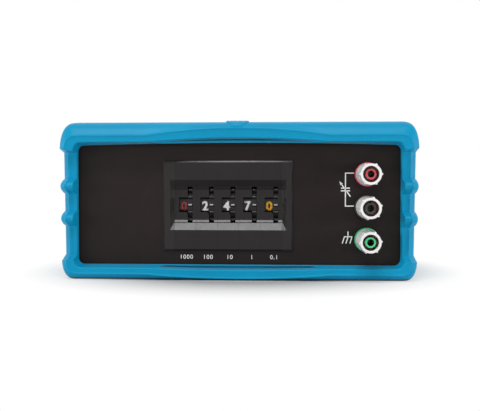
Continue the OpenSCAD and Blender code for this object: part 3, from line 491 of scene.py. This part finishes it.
def boot_section(x, z, outer, hole, full, dip):
    """Points of one section, from the front seat over the lip, the face and the roll to the back seat.

    x and z are the middle of the opening's corner arc or a place on a bar or side, outer and hole the
    outward weights of the outer form and of the opening, full the fullness and dip the scoop there.
    Reaches are given for the side, the top bar and the bottom bar.
    """
    up = outer[1] > 0
    flat = 1 - outer[0] ** 2
    rim = BOOT_D / 2 - RELIEF_FRONT * (1 - full)
    side = BOOT_W / 2 - corner_x - RELIEF_OUT * (1 - full) - taper(z)
    roll_y = ROLL_DEEP_SIDE * (1 - flat) + (ROLL_DEEP_TOP if up else ROLL_DEEP_BOTTOM) * flat
    first = CREASE + ((SCOOP_TOP if up else SCOOP_BOTTOM) - CREASE) * dip
    face = rim - roll_y * (math.cos(CREASE) - math.cos(first))
    crown = OPENING_CROWN * (1 - (x / corner_x) ** 2) if up else 0
    inner = (OPEN_R, OPEN_R + crown, OPEN_R)
    lip = (OPEN_R + LIP_LOW + (LIP_IN - LIP_LOW) * min(1, full),
           OPEN_R + LIP_IN + LIP_TOP_MORE + LIP_CUT_TOP * dip,
           OPEN_R + LIP_IN + LIP_CUT_BOTTOM * dip)
    bend = min(LIP_ROUND, face - seat_y - BEAD_T - GROOVE_IN - BEAD_IN)
    front = []

    def add(weights, reach, y):
        out = reach[1] if up else reach[2]
        front.append((x + weights[0] * reach[0], -y, max(0.0, z + weights[1] * out)))

    def add_rolled(a, inset=0.0, proud=0.0, y=None):
        grow = proud * math.sin(a) - inset
        rolls = ((side, ROLL_SIDE), (top_reach, ROLL_TOP), (bottom_reach, ROLL_BOTTOM))
        reach = [whole - roll * (1 - math.sin(a)) + grow for whole, roll in rolls]
        back = rim - roll_y * (math.cos(CREASE) - math.cos(a)) if y is None else y
        add(outer, reach, back + proud * math.cos(a))

    add(hole, (CASE_R + BOOT_FIT,) * 3, seat_y)
    add(hole, inner, seat_y)
    bead_y = seat_y + BEAD_T
    add(hole, [i + BEAD_IN for i in inner], bead_y)
    gap = ramp(GAP_STEEP * dip)
    rise = face - bend - bead_y
    wide = GAP_WIDE_TOP if up else 1.0
    for share, out, y in LIP_PROFILE:
        straight = [i + BEAD_IN + (l - i - BEAD_IN) * share for i, l in zip(inner, lip)]
        reach = [s + (i + wide * out - s) * gap for s, i in zip(straight, inner)]
        add(hole, reach, bead_y + rise * share * (1 - gap) + y * gap)
    short = 1 - LIP_UNDER_SHARE
    under = [l - LIP_UNDER * gap - short * (l - i) * (1 - gap) for i, l in zip(inner, lip)]
    add(hole, under, bead_y + rise * LIP_UNDER_SHARE * (1 - gap) - GAP_DEEP * gap)
    for k in range(LIP_STEPS + 1):
        a = math.pi / 2 * k / LIP_STEPS
        add(hole, [l + bend * (1 - math.cos(a)) for l in lip], face - bend * (1 - math.sin(a)))

    for inset, proud in CREASE_FACE:
        add_rolled(first, inset, 0.0, face + proud * CREASE_BEAD)
    for share, proud in CREASE_ROLL:
        add_rolled(first + (math.pi / 2 - first) * share, 0.0, proud * CREASE_BEAD)
    for k in range(2, ROLL_STEPS + 1):
        add_rolled(first + (math.pi / 2 - first) * k / ROLL_STEPS)
    return front + [(p[0], -p[1], p[2]) for p in reversed(front)]


def lens_pad(lug, up, first):
    """A lens-shaped pad that follows the roll of a bar: its points, and faces numbered from first."""
    width, depth = lug["width"], lug["depth"]
    radius = ((width / 2) ** 2 + (depth / 2) ** 2) / depth
    half = math.asin(width / 2 / radius)
    arc = [-half + 2 * half * k / LUG_STEPS for k in range(LUG_STEPS)]
    outline = [(radius * math.sin(a), radius * math.cos(a) - radius + depth / 2) for a in arc]
    outline += [(-x, -y) for x, y in outline]
    deep, high = (ROLL_DEEP_TOP, ROLL_TOP) if up else (ROLL_DEEP_BOTTOM, ROLL_BOTTOM)
    middle_y = BOOT_D / 2 - deep * math.cos(CREASE)
    points = []
    for share, proud in LUG_LEVELS:
        for x, y in outline:
            forward = BOOT_D / 2 - lug["back"] - y * share
            reach = min(LUG_STEEPEST, abs(forward - middle_y) / (deep + proud))
            bulge = (high + proud) * math.sqrt(1 - reach ** 2) - high
            points.append((x * share, -forward, BOOT_H + bulge if up else max(0.0, -BASE_TRIM - bulge)))
    count = len(outline)
    faces = []
    for level in range(len(LUG_LEVELS) - 1):
        low = first + level * count
        for k in range(count):
            m = (k + 1) % count
            faces.append((low + k, low + m, low + count + m, low + count + k))
    last = first + (len(LUG_LEVELS) - 1) * count
    faces.append(tuple(first + k for k in reversed(range(count))))
    faces.append(tuple(last + k for k in range(count)))
    return points, faces


def make_boot():
    """The boot and its lugs, in place of the part's plainer boot."""
    loops = [boot_section(*station) for station in boot_stations()]
    count, ring = len(loops), len(loops[0])
    points = [p for loop in loops for p in loop]
    faces = []
    for i in range(count):
        j = (i + 1) % count
        for k in range(ring):
            m = (k + 1) % ring
            faces.append((i * ring + k, i * ring + m, j * ring + m, j * ring + k))
    for lug in (LUG_TOP, LUG_BOTTOM):
        more_points, more_faces = lens_pad(lug, lug is LUG_TOP, len(points))
        points += more_points
        faces += more_faces
    mesh = smooth_mesh("boot", points, faces, BOOT_SHARP)
    boot = finish_piece("boot", mesh, finishes["boot_rubber"], "box")
    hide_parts("rubber_boot")


make_boot()


# Printing: flat shapes with a thin layer of ink, laid on a panel or wrapped round a wheel
def letters(text, bold, spacing=1.0):
    """Triangles of a line of text as a bmesh, one unit high, centred on the origin."""
    curve = bpy.data.curves.new("letters", "FONT")
    curve.body = text
    curve.align_x = "CENTER"
    curve.offset = bold
    curve.space_character = spacing
    curve.resolution_u = 5
    holder = bpy.data.objects.new("letters", curve)
    bpy.context.scene.collection.objects.link(holder)
    graph = bpy.context.evaluated_depsgraph_get()
    mesh = bpy.data.meshes.new_from_object(holder.evaluated_get(graph))
    work = bmesh.new()
    work.from_mesh(mesh)
    bpy.data.objects.remove(holder)
    bpy.data.curves.remove(curve)
    bpy.data.meshes.remove(mesh)
    low = Vector(min(v.co[k] for v in work.verts) for k in range(3))
    high = Vector(max(v.co[k] for v in work.verts) for k in range(3))
    middle = (low + high) / 2
    for v in work.verts:
        v.co = (v.co - middle) / (high.y - low.y)
    bmesh.ops.remove_doubles(work, verts=work.verts, dist=1e-5)
    return work


def ink(name, work, paint, body):
    """Turns flat printed faces into a thin closed layer of a paint."""
    mesh = bpy.data.meshes.new(name)
    work.to_mesh(mesh)
    work.free()
    piece = finish_piece(name, mesh, finishes[paint], body)
    layer = piece.modifiers.new("ink", "SOLIDIFY")
    layer.thickness = INK_T * MM
    layer.offset = 0.0


def wrap(work, x_mid, radius, axis, angle):
    """Bends a flat digit round a wheel that turns on X, with its middle at an angle above the front."""
    for k in range(1, DIGIT_STRIPS):
        level = -0.5 + k / DIGIT_STRIPS
        geometry = work.verts[:] + work.edges[:] + work.faces[:]
        bmesh.ops.bisect_plane(work, geom=geometry, plane_co=(0, level, 0), plane_no=(0, 1, 0))
    widest = max(v.co.x for v in work.verts) - min(v.co.x for v in work.verts)
    across = min(DIGIT_H, DIGIT_W / widest)
    for v in work.verts:
        turn = angle + v.co.y * DIGIT_H / radius
        y = axis[0] - radius * math.cos(turn)
        z = axis[1] + radius * math.sin(turn)
        v.co = Vector((x_mid + v.co.x * across, y, z)) * MM


def join(target, source):
    """Adds the geometry of one bmesh to another and frees it."""
    mesh = bpy.data.meshes.new("part")
    source.to_mesh(mesh)
    source.free()
    target.from_mesh(mesh)
    bpy.data.meshes.remove(mesh)


def fill_between(work, rows):
    """Faces between rows of two points each."""
    for a, b in zip(rows, rows[1:]):
        work.faces.new((a[0], a[1], b[1], b[0]))


def tooth_mark(work, x_mid, axis, angle):
    """A painted stripe on the crest of one tooth."""
    centre = TOOTH_TIP_R - TOOTH_R
    rows = []
    for k in range(MARK_STEPS + 1):
        lean = -MARK_REACH + 2 * MARK_REACH * k / MARK_STEPS
        along = centre + (TOOTH_R + INK_LIFT) * math.cos(lean)
        up = (TOOTH_R + INK_LIFT) * math.sin(lean)
        y = axis[0] - along * math.cos(angle) + up * math.sin(angle)
        z = axis[1] + along * math.sin(angle) + up * math.cos(angle)
        rows.append([work.verts.new(Vector((x_mid + s * MARK_W / 2, y, z)) * MM) for s in (-1, 1)])
    fill_between(work, rows)


def make_wheel_print(i, paint):
    """Digits of one wheel and a mark on the tooth beside each. A positive turn of the wheel counts up."""
    low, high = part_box(f"thumbwheel_{i}")
    axis = ((low.y + high.y) / 2 / MM, (low.z + high.z) / 2 / MM)
    band_x = high.x / MM - TOOTH_W - BAND_W / 2
    tooth_x = high.x / MM - TOOTH_W / 2
    digits, marks = bmesh.new(), bmesh.new()
    for d in range(DIGITS_A_TURN):
        angle = 2 * math.pi * (d - SHOWN[i - 1]) / DIGITS_A_TURN
        digit = letters(str(d), DIGIT_BOLD)
        wrap(digit, band_x, BAND_R + INK_LIFT, axis, angle - DIGIT_DROP / BAND_R)
        join(digits, digit)
        tooth_mark(marks, tooth_x, axis, angle)
    ink(f"wheel_digits_{i}", digits, paint, f"wheel_{i}")
    ink(f"wheel_marks_{i}", marks, "print_mark", f"wheel_{i}")


# Red digits on the first wheel, yellow ones on the last and white ones between
wheel_paints = [("print_white", "knob_white")] * DECADES
wheel_paints[0] = ("print_red", "terminal_red")
wheel_paints[-1] = ("print_yellow", "capacitor_resin")
for decade, (paint, slot) in enumerate(wheel_paints, 1):
    make_wheel_print(decade, paint)


# Panel printing: plain numbers under the wheels, and the signs for a variable capacitor and the case
def panel_point(x, z):
    """A point of the ink's middle layer on the panel, z from the middle of the opening."""
    return Vector((x, panel_face - INK_T / 2, OPEN_Z + z)) * MM


def on_panel(work, x, z, height):
    """Lays flat letters on the panel."""
    for v in work.verts:
        v.co = panel_point(x + v.co.x * height, z + v.co.y * height)


def ribbon(work, *points):
    """A flat line of constant width through points on the panel, mitred at its corners."""
    places = [Vector(p) for p in points]
    rows = []
    for k, p in enumerate(places):
        before = (p - places[k - 1]).normalized() if k else (places[1] - p).normalized()
        after = (places[k + 1] - p).normalized() if k + 1 < len(places) else before
        across = Vector((-before.y - after.y, before.x + after.x)).normalized()
        across *= LINE / 2 / max(MITRE_LIMIT, across.dot(Vector((-before.y, before.x))))
        rows.append([work.verts.new(panel_point(*q)) for q in (p - across, p + across)])
    fill_between(work, rows)


def arrow_head(work, tip, back, width):
    tip, back = Vector(tip), Vector(back)
    along = (tip - back).normalized()
    across = Vector((-along.y, along.x)) * width / 2
    work.faces.new([work.verts.new(panel_point(*q)) for q in (tip, back - across, back + across)])


def make_labels():
    """The size of a step under each wheel."""
    middle = 0.0
    for k in range(1, DECADES + 1):
        low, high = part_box(f"switch_housing_{k}")
        middle += (low.x + high.x) / 2 / DECADES / MM
    for k, label in enumerate(LABELS):
        text = letters(label, 0.0, LABEL_SPACING)
        on_panel(text, middle + LABEL_SHIFT + PITCH * (k - DECADES // 2) * LABEL_SPREAD, LABEL_Z, LABEL_H)
        ink(f"decade_value_{k + 1}", text, "print_white", "box")


def make_capacitor_sign():
    """Two plates, joined to the red and black terminals, with an arrow across them."""
    line_x, end_x = 62.9, 67.8
    top, upper_end, lower_end, low = 18.7, 9.9, 8.4, -0.55
    plate_half, plate_up, plate_low = 2.6, 9.96, 8.38
    tail, neck = (65.8, 5.0), (60.4, 12.5)
    sign = bmesh.new()
    ribbon(sign, (end_x, top), (line_x, top), (line_x, upper_end))
    ribbon(sign, (line_x, lower_end), (line_x, low), (end_x, low))
    for z in (plate_up, plate_low):
        ribbon(sign, (line_x - plate_half, z), (line_x + plate_half, z))
    ink("variable_capacitor_sign", sign, "print_white", "box")
    arrow = bmesh.new()
    ribbon(arrow, tail, neck)
    arrow_head(arrow, tip=(59.4, 13.9), back=(60.7, 12.1), width=1.7)
    ink("variable_arrow_sign", arrow, "print_white", "box")


def make_chassis_sign():
    """A stem on a bar with three slanting legs."""
    stem_x, stem_top, stem_end = 64.5, -15.4, -18.3
    bar_left, bar_right, bar_z = 62.2, 67.1, -18.5
    leg_top, leg_end, leg_lean = -18.6, -22.5, 1.2
    chassis = bmesh.new()
    ribbon(chassis, (stem_x, stem_top), (stem_x, stem_end))
    ribbon(chassis, (bar_left, bar_z), (bar_right, bar_z))
    for leg_x in (62.4, stem_x, 66.8):
        ribbon(chassis, (leg_x, leg_top), (leg_x - leg_lean, leg_end))
    ink("chassis_sign", chassis, "print_white", "box")


make_labels()
make_capacitor_sign()
make_chassis_sign()

# Camera at the photograph's viewing angle: its place in millimetres and its turn in degrees
CAMERA_X = 26.3
CAMERA_AWAY = 450.0
CAMERA_UP = 14.4
CAMERA_DOWN_TURN = 1.87
CAMERA_LEFT_TURN = 3.185
CAMERA_LENS = 57.45
lens = bpy.data.cameras.new("camera")
lens.sensor_fit = "HORIZONTAL"
lens.sensor_width = 36.0
lens.lens = CAMERA_LENS
lens.clip_start = 0.02
camera = bpy.data.objects.new("camera", lens)
camera.location = Vector((CAMERA_X, panel_face - CAMERA_AWAY, OPEN_Z + CAMERA_UP)) * MM
camera.rotation_euler = (math.radians(90 - CAMERA_DOWN_TURN), 0.0, math.radians(CAMERA_LEFT_TURN))
bpy.context.scene.collection.objects.link(camera)
bpy.context.scene.camera = camera

# Stage, in metres: a floor, white further off, that keeps the object's shadow and is painted darker near it,
# and a white surround
FLOOR_HALF = 4.0
FLOOR_Z = -0.0002
SHADOW_SCALE = (0.95, 1.0, 1.0)
SHADOW_ENDS = (0.075, 0.135)
# Floor colours near the object: a darker grey that paints shadow round it
FLOOR_NEAR_SHADE = ((0.50, 0.50, 0.50), (0.54, 0.54, 0.54))
FLOOR_FAR = (0.92, 0.92, 0.92)
FLOOR_CLOUDS = 40
WORLD_LEVEL = 0.2
LAMPS = {
    "top_light": {"place": (0.0, 0.42, 0.75), "target": (0.0, 0.0, 0.0),
                  "size": (0.9, 0.6), "power": 1.0},
    "front_light": {"place": (-0.08, -0.42, 0.75), "target": (-0.08, -0.05, 0.04),
                    "size": (0.52, 0.14), "power": 3.3},
    "left_light": {"place": (-0.8, -0.42, 0.14), "target": (0.0, -0.05, 0.04),
                   "size": (0.5, 0.24), "power": 3.2},
    "right_light": {"place": (0.8, -0.42, 0.14), "target": (0.0, -0.05, 0.04),
                    "size": (0.5, 0.24), "power": 3.2},
    "back_light": {"place": (0.0, 0.85, 0.38), "target": (0.0, 0.0, 0.04),
                   "size": (0.8, 0.3), "power": 1.4},
}


def shown_rays(tree):
    """1 for rays that show the background: camera, glossy and transmission rays."""
    path = add_node(tree, "ShaderNodeLightPath")
    seen = math_node(tree, "MAXIMUM", path.outputs["Is Camera Ray"], path.outputs["Is Glossy Ray"])
    return math_node(tree, "MAXIMUM", seen, path.outputs["Is Transmission Ray"])


def floor_material():
    """Matt and painted darker near the object, a painted shadow, and white for shown rays further away."""
    material = bpy.data.materials.new("floor")
    material.use_nodes = True
    tree = material.node_tree
    tree.nodes.clear()
    squeeze = add_node(tree, "ShaderNodeMapping")
    squeeze.inputs["Scale"].default_value = SHADOW_SCALE
    tree.links.new(add_node(tree, "ShaderNodeTexCoord").outputs["Object"], squeeze.inputs["Vector"])
    length = add_node(tree, "ShaderNodeVectorMath", operation="LENGTH")
    tree.links.new(squeeze.outputs["Vector"], length.inputs[0])
    far = spread(tree, length.outputs["Value"], *SHADOW_ENDS, 0.0, 1.0)
    # Painted shadow: the floor is darker grey near the object
    near_shade = blend_colour(tree, noise(tree, FLOOR_CLOUDS), *FLOOR_NEAR_SHADE)
    matt = add_node(tree, "ShaderNodeBsdfDiffuse")
    tree.links.new(blend_colour(tree, far, near_shade, FLOOR_FAR), matt.inputs["Color"])
    glow = add_node(tree, "ShaderNodeEmission")
    mixed = add_node(tree, "ShaderNodeMixShader")
    tree.links.new(math_node(tree, "MULTIPLY", shown_rays(tree), far), mixed.inputs[0])
    tree.links.new(matt.outputs[0], mixed.inputs[1])
    tree.links.new(glow.outputs[0], mixed.inputs[2])
    tree.links.new(mixed.outputs[0], add_node(tree, "ShaderNodeOutputMaterial").inputs["Surface"])
    return material


def make_floor():
    mesh = bpy.data.meshes.new("floor")
    corners = [(x * FLOOR_HALF, y * FLOOR_HALF, 0) for x, y in ((-1, -1), (1, -1), (1, 1), (-1, 1))]
    mesh.from_pydata(corners, [], [(0, 1, 2, 3)])
    mesh.materials.append(floor_material())
    floor = bpy.data.objects.new("floor", mesh)
    floor.location.z = FLOOR_Z
    bpy.context.scene.collection.objects.link(floor)


def make_world():
    world = bpy.data.worlds.new("studio")
    bpy.context.scene.world = world
    world.use_nodes = True
    tree = world.node_tree
    tree.nodes.clear()
    back = add_node(tree, "ShaderNodeBackground")
    back.inputs["Color"].default_value = (1, 1, 1, 1)
    tree.links.new(spread(tree, shown_rays(tree), 0.0, 1.0, WORLD_LEVEL, 1.0), back.inputs["Strength"])
    tree.links.new(back.outputs[0], add_node(tree, "ShaderNodeOutputWorld").inputs["Surface"])


def area_light(name, place, target, size, power):
    data = bpy.data.lights.new(name, "AREA")
    data.shape = "RECTANGLE"
    data.size, data.size_y = size
    data.energy = power
    lamp = bpy.data.objects.new(name, data)
    lamp.location = place
    lamp.rotation_euler = (Vector(target) - Vector(place)).to_track_quat("-Z", "Y").to_euler()
    bpy.context.scene.collection.objects.link(lamp)


make_floor()
make_world()
for lamp_name, lamp in LAMPS.items():
    area_light(lamp_name, **lamp)
bpy.context.scene.view_settings.view_transform = "Standard"
